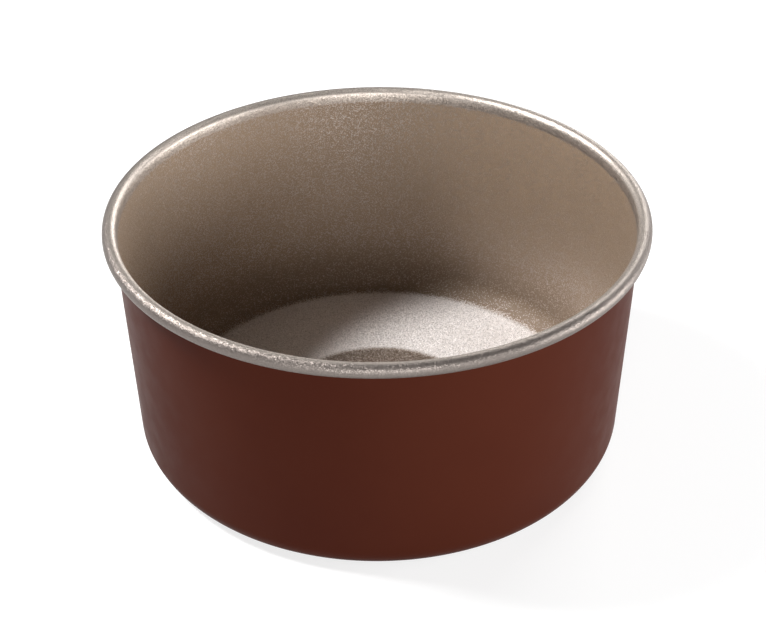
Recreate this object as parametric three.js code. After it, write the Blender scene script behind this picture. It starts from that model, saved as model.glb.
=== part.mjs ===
// Round souffle mould: a pressed steel shell with a wired, rolled rim, a metallic non-stick lining
// inside and over the rim, and a brown enamel outside.
// Millimetres, +Z up, origin on the axis at the level of the surface that the mould stands on.

import * as THREE from 'three';

// Driving dimensions
const rimDiameter = 160; // over the rolled edge
const overallHeight = 75; // resting face to the top of the rolled edge
const sheetThickness = 0.9;
const wallTaperDegrees = 2.3; // lean of the wall from upright
const cornerRadius = 6.5; // inside of the bend between floor and wall
const panelDiameter = 70; // raised centre of the floor, at the foot of its shoulder
const panelRise = 1.6;
const shoulderWidth = 12; // along the radius
const shoulderBendRadius = 6;
const lipRadius = 8; // bend that leads the wall out into the rolled edge
const lipTurnDegrees = 12;
const beadDiameter = 4.2; // rolled edge, over its lining
const liningThickness = 0.06;
const enamelThickness = 0.06;
const enamelFilletRadius = 0.5; // where enamel gathers under the rolled edge
const coatLineDegrees = -50; // where lining and enamel meet on the rolled edge, 0 being its outermost point

// Clearances
const bondGap = 0.02; // steel to each coat
const coatSeam = 0.05; // lining to enamel at the coat line
const curlGap = 0.35; // free edge of the curl to the wall
const wireClearance = 0.12; // rim wire to the inside of the curl

// Facets
const segmentsAround = 56;
const cornerSteps = 5;
const lipSteps = 2;
const curlStepsToTop = 2;
const curlStepsToOutermost = 3;
const curlStepsToCoatLine = 2;
const curlStepsPastCoatLine = 3;
const filletSteps = 2;
const wireSides = 8;

const RIGHT_ANGLE = Math.PI / 2;
const radians = THREE.MathUtils.degToRad;

// A run along the lined face of the sheet, in the half plane of radius and height.
// Each stop keeps its place and heading, so every other face is an offset of the same run.
class SheetRun {
  constructor(radius, height, heading) {
    this.stops = [{ place: new THREE.Vector2(radius, height), heading }];
  }

  get last() {
    return this.stops[this.stops.length - 1];
  }

  get count() {
    return this.stops.length;
  }

  straight(length) {
    const { place, heading } = this.last;
    const step = new THREE.Vector2(Math.cos(heading), Math.sin(heading)).multiplyScalar(length);
    this.stops.push({ place: place.clone().add(step), heading });
    return this;
  }

  // A positive turn bends towards the lined side, a negative one away from it
  bend(radius, turn, steps) {
    const start = this.last;
    const toCentre = acrossSheet(start.heading).multiplyScalar(-Math.sign(turn) * radius);
    const centre = start.place.clone().add(toCentre);
    for (let i = 1; i <= steps; i += 1) {
      const place = start.place.clone().rotateAround(centre, (turn * i) / steps);
      this.stops.push({ place, heading: start.heading + (turn * i) / steps });
    }
    return this;
  }

  // Points of the first stops, moved across the sheet from its lined face
  offset(distance, stops = this.stops) {
    return stops.map(({ place, heading }) => place.clone().add(acrossSheet(heading).multiplyScalar(distance)));
  }
}

// Unit step through the sheet, from its lined face to its enamelled face
function acrossSheet(heading) {
  return new THREE.Vector2(Math.sin(heading), -Math.cos(heading));
}

function pointOnCircle(centre, radius, angle) {
  return new THREE.Vector2(Math.cos(angle), Math.sin(angle)).multiplyScalar(radius).add(centre);
}

// Slope of a shoulder made of two equal bends and a straight, for its width and rise
function shoulderSlope(width, rise, bendRadius) {
  const across = width;
  const along = 2 * bendRadius - rise;
  return Math.asin((2 * bendRadius) / Math.hypot(across, along)) - Math.atan2(along, across);
}

// Heights and radii that follow from the driving dimensions
const liningStack = bondGap + liningThickness;
const enamelStack = bondGap + enamelThickness;
const floorLevel = enamelStack + sheetThickness;
const wallHeading = RIGHT_ANGLE - radians(wallTaperDegrees);
const lipHeading = wallHeading - radians(lipTurnDegrees);
const wallAcross = acrossSheet(wallHeading);
const curlRadius = beadDiameter / 2 - liningStack;
const beadCentre = new THREE.Vector2(rimDiameter / 2 - beadDiameter / 2, overallHeight - beadDiameter / 2);

// The wall ends where the lip bend, and then the curl, carry on to the bead's centre
const wallTop = beadCentre
  .clone()
  .addScaledVector(acrossSheet(lipHeading), lipRadius - curlRadius)
  .addScaledVector(wallAcross, -lipRadius);
const wallFootHeight = floorLevel + cornerRadius * (1 - Math.cos(wallHeading));
const wallLength = (wallTop.y - wallFootHeight) / Math.sin(wallHeading);
const wallFootRadius = wallTop.x - wallLength * Math.cos(wallHeading);
const floorRadius = wallFootRadius - cornerRadius * Math.sin(wallHeading);

// Distance from the wall's outer face to the bead's centre, square to the wall
const beadStandOff = beadCentre.clone().sub(wallTop).dot(wallAcross) - sheetThickness;
const wallAcrossAngle = wallHeading - RIGHT_ANGLE;
const coatLine = radians(coatLineDegrees);
const seamHalfAngle = coatSeam / 2 / curlRadius;
const curlEnd = wallAcrossAngle - Math.acos((curlGap - beadStandOff) / curlRadius);

// The run from the middle of the floor to the free edge of the curl
function layOutSheet() {
  const slope = shoulderSlope(shoulderWidth, panelRise, shoulderBendRadius);
  const slopeLength = (shoulderWidth - 2 * shoulderBendRadius * Math.sin(slope)) / Math.cos(slope);
  const run = new SheetRun(0, floorLevel + panelRise, 0)
    .straight(panelDiameter / 2 - shoulderWidth)
    .bend(shoulderBendRadius, -slope, 1)
    .straight(slopeLength)
    .bend(shoulderBendRadius, slope, 1)
    .straight(floorRadius - panelDiameter / 2)
    .bend(cornerRadius, wallHeading, cornerSteps);
  const stopsToWallFoot = run.count;
  run
    .straight(wallLength)
    .bend(lipRadius, lipHeading - wallHeading, lipSteps)
    .bend(curlRadius, -lipHeading, curlStepsToTop)
    .bend(curlRadius, -RIGHT_ANGLE, curlStepsToOutermost)
    .bend(curlRadius, coatLine, curlStepsToCoatLine);
  const stopsToCoatLine = run.count;
  run.bend(curlRadius, curlEnd - coatLine, curlStepsPastCoatLine);
  return { run, stopsToWallFoot, stopsToCoatLine };
}

const { run, stopsToWallFoot, stopsToCoatLine } = layOutSheet();

// Turns a closed outline about the axis; an outline that starts and ends on the axis closes along it
function turned(outline) {
  const onAxis = outline[0].x === 0;
  const closed = onAxis ? outline : [...outline, outline[0].clone()];
  return new THREE.LatheGeometry(closed, segmentsAround).rotateX(RIGHT_ANGLE);
}

function piece(name, outline, finish) {
  const mesh = new THREE.Mesh(turned(outline), new THREE.MeshStandardMaterial(finish));
  mesh.name = name;
  return mesh;
}

// The pressed sheet: floor, corner, wall, lip and curl in one
function pressedShell() {
  const outline = [...run.offset(sheetThickness), ...run.offset(0).reverse()];
  return piece('pressed_shell', outline, { color: 0x8f8f8c, roughness: 0.45, metalness: 1 });
}

// The wire that the edge is rolled around
function rimWire() {
  const wireRadius = curlRadius - sheetThickness - wireClearance;
  const outline = Array.from({ length: wireSides }, (_, i) =>
    pointOnCircle(beadCentre, wireRadius, (2 * Math.PI * i) / wireSides));
  return piece('rim_wire', outline, { color: 0x7d7f80, roughness: 0.5, metalness: 1 });
}

// The lining covers the inside and runs over the rolled edge as far as the coat line
function nonstickLining() {
  const covered = run.stops.slice(0, stopsToCoatLine - 1);
  const edge = coatLine + seamHalfAngle;
  const steelSide = [...run.offset(-bondGap, covered), pointOnCircle(beadCentre, curlRadius + bondGap, edge)];
  const openSide = [...run.offset(-liningStack, covered), pointOnCircle(beadCentre, beadDiameter / 2, edge)];
  return piece('nonstick_lining', [...steelSide, ...openSide.reverse()], {
    color: 0x84745f, roughness: 0.42, metalness: 0.75,
  });
}

// A point given square to the wall and along it, both from the bead's centre
function besideWall(across, along) {
  return beadCentre
    .clone()
    .addScaledVector(wallAcross, across)
    .add(new THREE.Vector2(Math.cos(wallHeading), Math.sin(wallHeading)).multiplyScalar(along));
}

// The enamel covers the underside, the outside of the wall and the underside of the rolled edge
function enamelCoat() {
  const covered = run.stops.slice(0, stopsToWallFoot);
  const underCurl = run.stops.slice(stopsToCoatLine, -1).reverse();
  const edge = coatLine - seamHalfAngle;

  const openCurlRadius = curlRadius + enamelStack;
  const filletAcross = enamelStack + enamelFilletRadius - beadStandOff;
  const filletAlong = -Math.sqrt((openCurlRadius + enamelFilletRadius) ** 2 - filletAcross ** 2);
  const filletCentre = besideWall(filletAcross, filletAlong);
  const filletStart = wallAcrossAngle + Math.PI;
  const filletEnd = beadCentre.clone().sub(filletCentre).angle();
  const fillet = Array.from({ length: filletSteps + 1 }, (_, i) =>
    pointOnCircle(filletCentre, enamelFilletRadius, filletStart + ((filletEnd - filletStart) * i) / filletSteps));
  const openSide = [
    ...run.offset(sheetThickness + enamelStack, covered),
    ...fillet,
    ...run.offset(-enamelStack, underCurl),
    pointOnCircle(beadCentre, openCurlRadius, edge),
  ];

  const steelCurlRadius = curlRadius + bondGap;
  const creviceAcross = bondGap - beadStandOff;
  const crevice = besideWall(creviceAcross, -Math.sqrt(steelCurlRadius ** 2 - creviceAcross ** 2));
  const steelSide = [
    ...run.offset(sheetThickness + bondGap, covered),
    crevice,
    pointOnCircle(beadCentre, steelCurlRadius, curlEnd),
    ...run.offset(-bondGap, underCurl),
    pointOnCircle(beadCentre, steelCurlRadius, edge),
  ];
  return piece('enamel_coat', [...openSide, ...steelSide.reverse()], {
    color: 0x55291c, roughness: 0.35, metalness: 0,
  });
}

const souffleMould = new THREE.Group();
souffleMould.add(pressedShell(), rimWire(), nonstickLining(), enamelCoat());

export default souffleMould;
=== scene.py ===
import math

import bmesh
import bpy
from mathutils import Matrix, Vector


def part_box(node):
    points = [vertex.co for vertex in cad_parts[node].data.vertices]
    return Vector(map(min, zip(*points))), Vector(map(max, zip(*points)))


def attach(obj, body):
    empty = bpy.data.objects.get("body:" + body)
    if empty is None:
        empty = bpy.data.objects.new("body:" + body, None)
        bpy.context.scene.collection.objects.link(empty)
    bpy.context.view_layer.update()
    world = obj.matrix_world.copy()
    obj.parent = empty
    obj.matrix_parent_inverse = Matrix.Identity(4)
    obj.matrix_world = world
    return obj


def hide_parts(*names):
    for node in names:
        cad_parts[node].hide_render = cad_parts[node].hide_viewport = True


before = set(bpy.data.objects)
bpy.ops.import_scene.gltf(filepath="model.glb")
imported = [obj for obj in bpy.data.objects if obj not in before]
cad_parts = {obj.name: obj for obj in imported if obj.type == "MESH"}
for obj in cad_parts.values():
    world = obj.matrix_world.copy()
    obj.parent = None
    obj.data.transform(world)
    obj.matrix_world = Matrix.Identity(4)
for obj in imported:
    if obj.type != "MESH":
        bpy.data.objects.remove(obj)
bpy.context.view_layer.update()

# Sizes in metres. The rim and the height come from the frame, the rest from the pressed sheet.
MM = 0.001
RIM_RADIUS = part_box("nonstick_lining")[1].x
OVERALL_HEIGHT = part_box("nonstick_lining")[1].z
SHEET = 0.9 * MM
CORNER_RADIUS = 6.5 * MM
PANEL_RADIUS = 35 * MM
PANEL_RISE = 1.6 * MM
SHOULDER_WIDTH = 12 * MM
SHOULDER_BEND = 6 * MM
LIP_RADIUS = 8 * MM
BEAD_RADIUS = 2.1 * MM
COAT = 0.06 * MM
BOND_GAP = 0.02 * MM
COAT_SEAM = 0.05 * MM
CURL_GAP = 0.35 * MM
WIRE_CLEARANCE = 0.12 * MM
ENAMEL_FILLET = 0.5 * MM
WALL_TAPER = math.radians(2.3)
LIP_TURN = math.radians(12)

# The coat line on the rolled edge, measured from its outermost point, climbs at the front left
COAT_LINE = math.radians(-56)
COAT_LINE_CLIMB = math.radians(17)
CLIMB_AZIMUTH = math.radians(228)
CLIMB_HALF_WIDTH = math.radians(28)
COAT_LINE_WAVES = ((5, 1.2, 0.4), (11, 0.8, 2.1), (23, 0.5, 4.0))

# Mesh fineness
SEGMENTS_AROUND = 320
ARC_STEP = math.radians(6)
FLOOR_STEPS = 4
SLOPE_STEPS = 2
WALL_STEPS = 8
LINING_CURL_STEPS = 10
ENAMEL_CURL_STEPS = 12
CREVICE_STEPS = 14
MERGE_DISTANCE = 1e-4 * MM
SHARP_ANGLE = math.radians(40)

COAT_STACK = COAT + BOND_GAP
FLOOR_LEVEL = COAT_STACK + SHEET
CURL_RADIUS = BEAD_RADIUS - COAT_STACK
BEAD_CENTRE = Vector((RIM_RADIUS - BEAD_RADIUS, OVERALL_HEIGHT - BEAD_RADIUS))


def across(heading):
    """Unit step through the sheet, from its lined face to its enamelled face."""
    return Vector((math.sin(heading), -math.cos(heading)))


def on_circle(centre, radius, angle):
    return centre + Vector((math.cos(angle), math.sin(angle))) * radius


def spread(start, end, steps):
    return [start + (end - start) * i / steps for i in range(steps + 1)]


def arc(centre, radius, start, end):
    """Points of an arc, both ends included, with a count that depends on its angle alone."""
    steps = max(2, math.ceil(abs(end - start) / ARC_STEP))
    return [on_circle(centre, radius, angle) for angle in spread(start, end, steps)]


class SheetRun:
    """A run along the lined face of the sheet: places with headings, in radius and height."""

    def __init__(self, radius, height, heading):
        self.stops = [(Vector((radius, height)), heading)]

    def straight(self, length, steps=1):
        place, heading = self.stops[-1]
        ahead = Vector((math.cos(heading), math.sin(heading)))
        for i in range(1, steps + 1):
            self.stops.append((place + ahead * length * i / steps, heading))
        return self

    def bend(self, radius, turn):
        place, heading = self.stops[-1]
        side = -math.copysign(1, turn)
        centre = place + across(heading) * side * radius
        steps = max(2, math.ceil(abs(turn) / ARC_STEP))
        for i in range(1, steps + 1):
            new_heading = heading + turn * i / steps
            self.stops.append((centre - across(new_heading) * side * radius, new_heading))
        return self

    def offset(self, distance):
        return [place + across(heading) * distance for place, heading in self.stops]


WALL_HEADING = math.pi / 2 - WALL_TAPER
LIP_HEADING = WALL_HEADING - LIP_TURN
WALL_ACROSS = across(WALL_HEADING)
WALL_UP = Vector((math.cos(WALL_HEADING), math.sin(WALL_HEADING)))
WALL_TOP = BEAD_CENTRE + across(LIP_HEADING) * (LIP_RADIUS - CURL_RADIUS) - WALL_ACROSS * LIP_RADIUS
WALL_FOOT_HEIGHT = FLOOR_LEVEL + CORNER_RADIUS * (1 - math.cos(WALL_HEADING))
WALL_LENGTH = (WALL_TOP.y - WALL_FOOT_HEIGHT) / math.sin(WALL_HEADING)
FLOOR_RADIUS = WALL_TOP.x - WALL_LENGTH * math.cos(WALL_HEADING) - CORNER_RADIUS * math.sin(WALL_HEADING)
BEAD_STAND_OFF = (BEAD_CENTRE - WALL_TOP).dot(WALL_ACROSS) - SHEET
CURL_END = -WALL_TAPER - math.acos((CURL_GAP - BEAD_STAND_OFF) / CURL_RADIUS)


def floor_and_corner():
    """The run from the middle of the floor, over the panel's shoulder, to the foot of the wall."""
    level = 2 * SHOULDER_BEND - PANEL_RISE
    slope = math.asin(2 * SHOULDER_BEND / math.hypot(SHOULDER_WIDTH, level))
    slope -= math.atan2(level, SHOULDER_WIDTH)
    slope_length = (SHOULDER_WIDTH - 2 * SHOULDER_BEND * math.sin(slope)) / math.cos(slope)
    run = SheetRun(0, FLOOR_LEVEL + PANEL_RISE, 0).straight(PANEL_RADIUS - SHOULDER_WIDTH, FLOOR_STEPS)
    run.bend(SHOULDER_BEND, -slope).straight(slope_length, SLOPE_STEPS).bend(SHOULDER_BEND, slope)
    return run.straight(FLOOR_RADIUS - PANEL_RADIUS, FLOOR_STEPS).bend(CORNER_RADIUS, WALL_HEADING)


def wall_and_lip():
    """The whole lined face as far as the start of the curl."""
    return floor_and_corner().straight(WALL_LENGTH, WALL_STEPS).bend(LIP_RADIUS, -LIP_TURN)


def coat_line(azimuth):
    """Angle on the rolled edge where lining gives way to enamel."""
    turn = (azimuth - CLIMB_AZIMUTH + math.pi) % (2 * math.pi) - math.pi
    climb = COAT_LINE_CLIMB * math.exp(-((turn / CLIMB_HALF_WIDTH) ** 2))
    waves = sum(size * math.sin(count * azimuth + phase) for count, size, phase in COAT_LINE_WAVES)
    return COAT_LINE + climb + math.radians(waves)


def curl(radius, end):
    """The rolled edge from the lip, over its top, to an angle; the count of points never changes."""
    top = arc(BEAD_CENTRE, radius, LIP_HEADING + math.pi / 2, 0)
    under = [on_circle(BEAD_CENTRE, radius, angle) for angle in spread(0, end, LINING_CURL_STEPS)]
    return top[1:] + under[1:]


def shell_outline(azimuth):
    run = wall_and_lip().bend(CURL_RADIUS, CURL_END - LIP_HEADING - math.pi / 2)
    return run.offset(SHEET) + run.offset(0)[::-1]


def wire_outline(azimuth):
    radius = CURL_RADIUS - SHEET - WIRE_CLEARANCE
    return arc(BEAD_CENTRE, radius, 0, 2 * math.pi)[:-1]


def lining_outline(azimuth):
    run = wall_and_lip()
    edge = coat_line(azimuth) + COAT_SEAM / 2 / CURL_RADIUS
    steel_side = run.offset(-BOND_GAP) + curl(CURL_RADIUS + BOND_GAP, edge)
    open_side = run.offset(-COAT_STACK) + curl(BEAD_RADIUS, edge)
    return steel_side + open_side[::-1]


def beside_wall(out, up):
    """A point given square to the wall and along it, both from the bead's centre."""
    return BEAD_CENTRE + WALL_ACROSS * out + WALL_UP * up


def enamel_outline(azimuth):
    run = floor_and_corner()
    edge = coat_line(azimuth) - COAT_SEAM / 2 / CURL_RADIUS
    fillet_out = COAT_STACK + ENAMEL_FILLET - BEAD_STAND_OFF
    fillet_drop = math.sqrt((BEAD_RADIUS + ENAMEL_FILLET) ** 2 - fillet_out**2)
    fillet_centre = beside_wall(fillet_out, -fillet_drop)
    to_bead = BEAD_CENTRE - fillet_centre
    fillet = arc(fillet_centre, ENAMEL_FILLET, math.pi - WALL_TAPER, math.atan2(to_bead.y, to_bead.x))
    open_angles = spread(math.atan2(-to_bead.y, -to_bead.x), edge, ENAMEL_CURL_STEPS)
    open_curl = [on_circle(BEAD_CENTRE, BEAD_RADIUS, angle) for angle in open_angles]
    steel_radius = CURL_RADIUS + BOND_GAP
    crevice_out = BOND_GAP - BEAD_STAND_OFF
    crevice = beside_wall(crevice_out, -math.sqrt(steel_radius**2 - crevice_out**2))
    from_bead = crevice - BEAD_CENTRE
    steel_angles = spread(math.atan2(from_bead.y, from_bead.x), edge, CREVICE_STEPS)
    steel_curl = [on_circle(BEAD_CENTRE, steel_radius, angle) for angle in steel_angles]
    open_side = run.offset(SHEET + COAT_STACK) + fillet + open_curl[1:]
    steel_side = run.offset(SHEET + BOND_GAP) + steel_curl
    return open_side + steel_side[::-1]


def turned(name, outline):
    """A closed body turned about Z, from a section with the same count of points at each azimuth."""
    mesh = bpy.data.meshes.new(name)
    build = bmesh.new()
    rings = []
    for i in range(SEGMENTS_AROUND):
        azimuth = 2 * math.pi * i / SEGMENTS_AROUND
        way = Vector((math.cos(azimuth), math.sin(azimuth), 0))
        points = outline(azimuth)
        rings.append([build.verts.new(way * p.x + Vector((0, 0, p.y))) for p in points])
    for i, ring in enumerate(rings):
        following = rings[(i + 1) % SEGMENTS_AROUND]
        for j, vert in enumerate(ring):
            k = (j + 1) % len(ring)
            build.faces.new((vert, following[j], following[k], ring[k]))
    bmesh.ops.remove_doubles(build, verts=build.verts, dist=MERGE_DISTANCE)
    bmesh.ops.recalc_face_normals(build, faces=build.faces)
    for face in build.faces:
        face.smooth = True
    build.to_mesh(mesh)
    build.free()
    mesh.set_sharp_from_angle(angle=SHARP_ANGLE)
    piece = bpy.data.objects.new(name, mesh)
    bpy.context.scene.collection.objects.link(piece)
    return piece


class Finish:
    """A node material and the few calls that build it."""

    def __init__(self, name):
        self.material = bpy.data.materials.new(name)
        self.material.use_nodes = True
        self.tree = self.material.node_tree
        self.shader = self.tree.nodes["Principled BSDF"]

    def put(self, value, socket):
        if isinstance(value, bpy.types.NodeSocket):
            self.tree.links.new(value, socket)
        else:
            socket.default_value = value

    def add(self, kind, inputs, output, **settings):
        node = self.tree.nodes.new(kind)
        for key, value in settings.items():
            setattr(node, key, value)
        for key, value in inputs.items():
            self.put(value, node.inputs[key])
        return node.outputs[output]

    def place(self):
        return self.add("ShaderNodeTexCoord", {}, "Object")

    def noise(self, size, detail=2.0, roughness=0.5):
        inputs = {"Vector": self.place(), "Scale": 1 / size, "Detail": detail, "Roughness": roughness}
        return self.add("ShaderNodeTexNoise", inputs, "Fac")

    def math(self, operation, *values):
        return self.add("ShaderNodeMath", dict(enumerate(values)), 0, operation=operation)

    def most(self, first, second):
        return self.math("MAXIMUM", first, second)

    def times(self, first, second):
        return self.math("MULTIPLY", first, second)

    def vector(self, operation, *values, output="Vector"):
        return self.add("ShaderNodeVectorMath", dict(enumerate(values)), output, operation=operation)

    def between(self, value, low, high, start=0.0, end=1.0):
        inputs = {"Value": value, "From Min": low, "From Max": high, "To Min": start, "To Max": end}
        return self.add("ShaderNodeMapRange", inputs, "Result", interpolation_type="SMOOTHSTEP")

    def by_mask(self, mask, off, on):
        return self.between(mask, 0.0, 1.0, off, on)

    def mix(self, factor, first, second):
        return self.add("ShaderNodeMix", {0: factor, 6: first, 7: second}, 2, data_type="RGBA")

    def split(self, colour, channel):
        return self.add("ShaderNodeSeparateColor", {"Color": colour}, channel)

    def bump(self, height, strength, depth, normal=None):
        inputs = {"Height": height, "Strength": strength, "Distance": depth}
        if normal is not None:
            inputs["Normal"] = normal
        return self.add("ShaderNodeBump", inputs, "Normal")

    def set(self, **sockets):
        for name, value in sockets.items():
            self.put(value, self.shader.inputs[name.replace("_", " ")])
        return self.material


# Colours
SILVER = (0.95, 0.91, 0.89, 1)
SILVER_DEEP = (0.40, 0.37, 0.355, 1)
CHAMPAGNE = (0.50, 0.44, 0.40, 1)
TAUPE = (0.232, 0.164, 0.110, 1)
# Painted shade: the taupe base is darkened towards this tone in the corner bend and over the centre panel
TAUPE_PAINTED_SHADE = (0.075, 0.049, 0.033, 1)
EDGE = (0.53, 0.47, 0.42, 1)
# Dark flakes at random on the rolled edge, and painted shade on all flakes of its outer face
EDGE_DEEP_AND_PAINTED_SHADE = (0.19, 0.165, 0.15, 1)
BROWN = (0.061, 0.0148, 0.0080, 1)
BROWN_DEEP = (0.054, 0.0125, 0.0070, 1)
SHEET_STEEL = (0.62, 0.61, 0.59, 1)
WIRE_STEEL = (0.50, 0.50, 0.51, 1)
PAPER = (0.38, 0.38, 0.38, 1)
PAPER_DEEP = (0.36, 0.36, 0.36, 1)
WHITE = (1, 1, 1, 1)

# Flakes in the lining: size, share of the surface, dark flakes, painted shade in the corner bend and on
# the centre panel, lean and dullness by place
FLAKE = 0.23 * MM
WALL_FLAKES = 0.25
FLOOR_FLAKES = 1.0
EDGE_FLAKES = 1.0
CORNER_BARE = 0.5
DEEP_FLAKES = 0.55
DEEP_LIMIT = 0.9
# Painted shade: how far the base darkens in the corner bend and over the centre panel
CORNER_PAINTED_SHADE = 0.34
PANEL_PAINTED_SHADE = 0.9
WALL_LEAN = 0.10
FLOOR_LEAN = 0.32
EDGE_LEAN = 0.12
OUTER_EDGE_LEAN = 0.20
WALL_DULL = 0.50
FLOOR_DULL = 0.76
CORNER_DULL = 0.75
GLOSS_SPREAD = 0.16

# Where the places in the lining pass into each other
PANEL_FADE = 4 * MM
FLOOR_FADE = 1.5 * MM
CORNER_FADE = CORNER_RADIUS / 2
BEND_HEIGHT = 4 * CORNER_RADIUS
EDGE_FADE = 1.4 * MM
OUTER_EDGE_START = BEAD_CENTRE.x - 0.6 * MM
OUTER_EDGE_END = BEAD_CENTRE.x + 1.0 * MM

# Grain of the finishes
NOISE_RANGE = (0.3, 0.7)
PEEL = 1.3 * MM
PEEL_DEPTH = 0.1 * MM
LINING_PEEL = 0.08
ENAMEL_PEEL = 0.04
ENAMEL_CLOUD = 60 * MM
ENAMEL_PATCH = 6 * MM
ENAMEL_DULL = (0.40, 0.46)
ENAMEL_SHINE = 0.02
STEEL_GRAIN = 0.4 * MM
STEEL_DULL = (0.32, 0.48)
STEEL_SHADE = 0.7
PAPER_CLOUD = 0.3
PAPER_DULL = 0.9
FLOOR_GLOW = 0.70


def lining_places(coat):
    """Masks over the lining: centre panel, flat of the floor, corner bend, rolled edge, its outer face."""
    height = coat.add("ShaderNodeSeparateXYZ", {"Vector": coat.place()}, "Z")
    radius = coat.vector("LENGTH", coat.vector("MULTIPLY", coat.place(), (1, 1, 0)), output="Value")
    panel = coat.between(radius, PANEL_RADIUS - PANEL_FADE, PANEL_RADIUS, 1.0, 0.0)
    corner = coat.between(radius, FLOOR_RADIUS - FLOOR_FADE, FLOOR_RADIUS + CORNER_FADE)
    flat = coat.math("SUBTRACT", 1.0, coat.most(panel, corner))
    # The corner bend: painted shade in the base, fewer flakes and a duller finish
    bend = coat.times(corner, coat.between(height, CORNER_RADIUS, BEND_HEIGHT, 1.0, 0.0))
    edge = coat.between(height, WALL_TOP.y - EDGE_FADE, WALL_TOP.y)
    # The outer face of the rolled edge: painted shade in its flakes, and a stronger lean
    outside = coat.between(radius, OUTER_EDGE_START, OUTER_EDGE_END)
    return panel, flat, bend, edge, outside


def leaning_normal(coat, cell, reach):
    """The surface's normal, tilted in each flake by the flake's own direction."""
    tilt = coat.vector("SCALE", coat.vector("SUBTRACT", cell, (0.5, 0.5, 0.5)))
    coat.put(reach, tilt.node.inputs["Scale"])
    facing = coat.add("ShaderNodeNewGeometry", {}, "Normal")
    return coat.vector("NORMALIZE", coat.vector("ADD", facing, tilt))


def champagne_lining():
    """Taupe base with metal flakes, densest on the flat of the floor and on the rolled edge. The base
    carries painted shade in the corner bend and over the centre panel, and the flakes on the rolled edge's
    outer face carry painted shade.
    """
    coat = Finish("champagne_lining")
    panel, flat, bend, edge, outside = lining_places(coat)
    cell = coat.add("ShaderNodeTexVoronoi", {"Vector": coat.place(), "Scale": 1 / FLAKE}, "Color")

    floor_share = coat.by_mask(flat, WALL_FLAKES, FLOOR_FLAKES)
    edge_share = coat.by_mask(edge, WALL_FLAKES, EDGE_FLAKES)
    share = coat.times(coat.most(floor_share, edge_share), coat.by_mask(bend, 1.0, 1.0 - CORNER_BARE))
    metal = coat.math("LESS_THAN", coat.split(cell, "Red"), share)

    # Painted shade: the base is darkened in the corner bend and over the centre panel
    depth = coat.most(coat.times(panel, PANEL_PAINTED_SHADE), coat.times(bend, CORNER_PAINTED_SHADE))
    base = coat.mix(depth, TAUPE, TAUPE_PAINTED_SHADE)
    deep = coat.between(coat.split(cell, "Blue"), 0.0, DEEP_LIMIT, DEEP_FLAKES, 0.0)
    floor_flake = coat.mix(flat, CHAMPAGNE, coat.mix(deep, SILVER, SILVER_DEEP))
    # The outer face of the rolled edge gets the dark flake tone as painted shade; elsewhere the dark
    # flakes fall at random
    edge_flake = coat.mix(coat.most(outside, deep), EDGE, EDGE_DEEP_AND_PAINTED_SHADE)
    flake = coat.mix(edge, floor_flake, edge_flake)

    edge_lean = coat.times(edge, coat.by_mask(outside, EDGE_LEAN, OUTER_EDGE_LEAN))
    lean = coat.most(coat.by_mask(flat, WALL_LEAN, FLOOR_LEAN), edge_lean)
    tilted = leaning_normal(coat, cell, coat.times(lean, coat.times(metal, 2.0)))

    floor_dull = coat.by_mask(flat, WALL_DULL, FLOOR_DULL)
    corner_dull = coat.by_mask(coat.most(bend, panel), WALL_DULL, CORNER_DULL)
    gloss = coat.by_mask(coat.split(cell, "Green"), -GLOSS_SPREAD / 2, GLOSS_SPREAD / 2)
    return coat.set(
        Base_Color=coat.mix(metal, base, flake),
        Metallic=metal,
        Roughness=coat.math("ADD", coat.most(floor_dull, corner_dull), gloss),
        Normal=coat.bump(coat.noise(PEEL), LINING_PEEL, PEEL_DEPTH, tilted),
    )


def brown_enamel():
    """Smooth, nearly matt brown with faint clouding and a faint orange peel."""
    coat = Finish("brown_enamel")
    cloud = coat.between(coat.noise(ENAMEL_CLOUD, 3.0), *NOISE_RANGE)
    return coat.set(
        Base_Color=coat.mix(cloud, BROWN_DEEP, BROWN),
        Roughness=coat.between(coat.noise(ENAMEL_PATCH, 3.0), *NOISE_RANGE, *ENAMEL_DULL),
        Specular_IOR_Level=ENAMEL_SHINE,
        Normal=coat.bump(coat.noise(PEEL), ENAMEL_PEEL, PEEL_DEPTH),
    )


def bare_steel(name, colour):
    """Drawn steel: fine grain in tone and gloss."""
    steel = Finish(name)
    grain = steel.noise(STEEL_GRAIN, 4.0)
    shaded = tuple(STEEL_SHADE * c for c in colour[:3]) + (1,)
    return steel.set(
        Base_Color=steel.mix(grain, shaded, colour),
        Metallic=1.0,
        Roughness=steel.between(grain, *NOISE_RANGE, *STEEL_DULL),
    )


def pale_floor():
    """Matt grey paper with a glow that only the camera, mirrors and glass see, so that it looks white."""
    paper = Finish("pale_floor")
    seen = paper.add("ShaderNodeLightPath", {}, "Is Camera Ray")
    for kind in ("Is Glossy Ray", "Is Transmission Ray"):
        seen = paper.most(seen, paper.add("ShaderNodeLightPath", {}, kind))
    return paper.set(
        Base_Color=paper.mix(paper.noise(PAPER_CLOUD), PAPER_DEEP, PAPER),
        Roughness=PAPER_DULL,
        Specular_IOR_Level=0.0,
        Emission_Color=WHITE,
        Emission_Strength=paper.times(seen, FLOOR_GLOW),
    )


def dress(name, outline, material, node):
    piece = turned(name, outline)
    piece.data.materials.append(material)
    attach(piece, "root")
    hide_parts(node)


drawn_steel = bare_steel("drawn_steel", SHEET_STEEL)
wire_steel = bare_steel("wire_steel", WIRE_STEEL)
dress("shell_sheet", shell_outline, drawn_steel, "pressed_shell")
dress("edge_wire", wire_outline, wire_steel, "rim_wire")
dress("lining_coat", lining_outline, champagne_lining(), "nonstick_lining")
dress("outer_enamel", enamel_outline, brown_enamel(), "enamel_coat")


# Stage, in metres, degrees and watts. Azimuth 0 is on the camera's side and grows to the right.
FLOOR_REACH = 3.5
SWEEP_RADIUS = 1.2
SWEEP_STEPS = 12
FLOOR_SEGMENTS = 96
WORLD_STRENGTH = 0.05
LAMP_DISTANCE = 1.2


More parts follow.
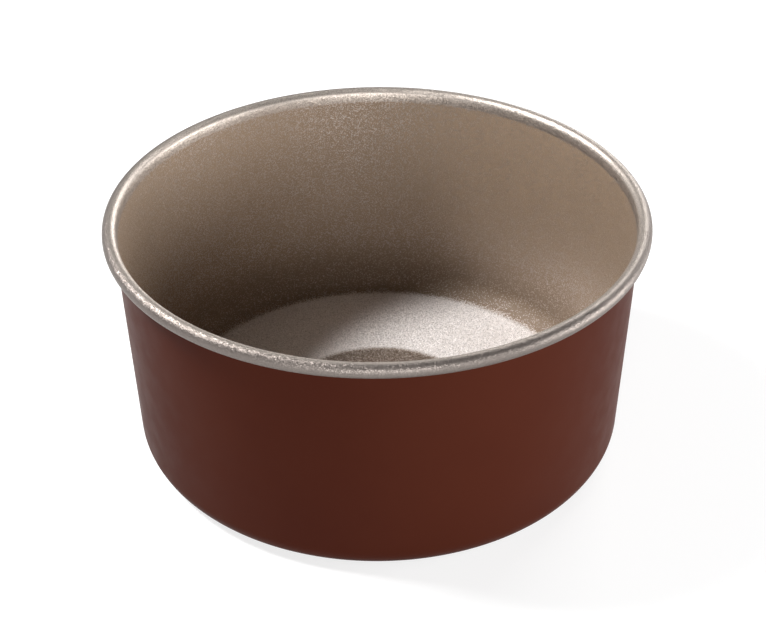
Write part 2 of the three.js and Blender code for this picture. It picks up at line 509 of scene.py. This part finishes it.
def add_floor():
    """A pale floor that sweeps up all round, far outside the lamps."""
    sweep_centre = Vector((FLOOR_REACH, SWEEP_RADIUS))
    turns = spread(-math.pi / 2, 0, SWEEP_STEPS)
    sweep = [Vector((0, 0))] + [on_circle(sweep_centre, SWEEP_RADIUS, turn) for turn in turns]
    mesh = bpy.data.meshes.new("floor")
    build = bmesh.new()
    verts = [build.verts.new((p.x, 0, p.y)) for p in sweep]
    edges = [build.edges.new(pair) for pair in zip(verts, verts[1:])]
    bmesh.ops.spin(
        build, geom=verts + edges, cent=(0, 0, 0), axis=(0, 0, 1), angle=2 * math.pi, steps=FLOOR_SEGMENTS
    )
    bmesh.ops.remove_doubles(build, verts=build.verts, dist=MM)
    bmesh.ops.recalc_face_normals(build, faces=build.faces)
    for face in build.faces:
        face.smooth = True
    build.to_mesh(mesh)
    build.free()
    mesh.materials.append(pale_floor())
    floor = bpy.data.objects.new("floor", mesh)
    bpy.context.scene.collection.objects.link(floor)


def aimed(place, target):
    """Rotation that points an object's -Z from place to target."""
    return (Vector(target) - Vector(place)).to_track_quat("-Z", "Y")


def add_softbox(name, azimuth, elevation, width, height, power):
    """A rectangular lamp at the common distance, aimed at the middle of the mould."""
    turn, rise = math.radians(azimuth), math.radians(elevation)
    way = Vector((math.sin(turn) * math.cos(rise), -math.cos(turn) * math.cos(rise), math.sin(rise)))
    lamp = bpy.data.lights.new(name, "AREA")
    lamp.shape = "RECTANGLE"
    lamp.size, lamp.size_y = width, height
    lamp.energy = power
    box = bpy.data.objects.new(name, lamp)
    target = Vector((0, 0, OVERALL_HEIGHT / 2))
    box.location = target + way * LAMP_DISTANCE
    box.rotation_mode = "QUATERNION"
    box.rotation_quaternion = aimed(box.location, target)
    bpy.context.scene.collection.objects.link(box)


def add_world(strength):
    world = bpy.data.worlds.new("studio")
    world.use_nodes = True
    background = world.node_tree.nodes["Background"]
    background.inputs["Color"].default_value = WHITE
    background.inputs["Strength"].default_value = strength
    bpy.context.scene.world = world


# Camera, from the outline of the photograph
CAMERA_DISTANCE = 0.4938
CAMERA_ELEVATION = math.radians(30.74)
CAMERA_AIM = Vector((0.0015, 0, 0.0363))
CAMERA_ROLL = math.radians(-0.44)
CAMERA_LENS = 79.08


def add_camera():
    data = bpy.data.cameras.new("camera")
    data.lens = CAMERA_LENS
    camera = bpy.data.objects.new("camera", data)
    rim_centre = Vector((0, 0, BEAD_CENTRE.y))
    back = Vector((0, -math.cos(CAMERA_ELEVATION), math.sin(CAMERA_ELEVATION)))
    camera.location = rim_centre + back * CAMERA_DISTANCE
    camera.rotation_mode = "QUATERNION"
    roll = Matrix.Rotation(CAMERA_ROLL, 4, "Z").to_quaternion()
    camera.rotation_quaternion = aimed(camera.location, CAMERA_AIM) @ roll
    bpy.context.scene.collection.objects.link(camera)
    bpy.context.scene.camera = camera


add_floor()
add_world(WORLD_STRENGTH)
add_softbox("key", -103, 50.5, 0.28, 0.28, 22.0)
add_softbox("back_right", 150, 25, 0.60, 0.60, 8.0)
add_softbox("right", 85, 8, 0.80, 0.50, 16.5)
add_softbox("front", 4, 17, 0.70, 0.45, 11.5)
add_camera()
bpy.context.scene.view_settings.view_transform = "Standard"
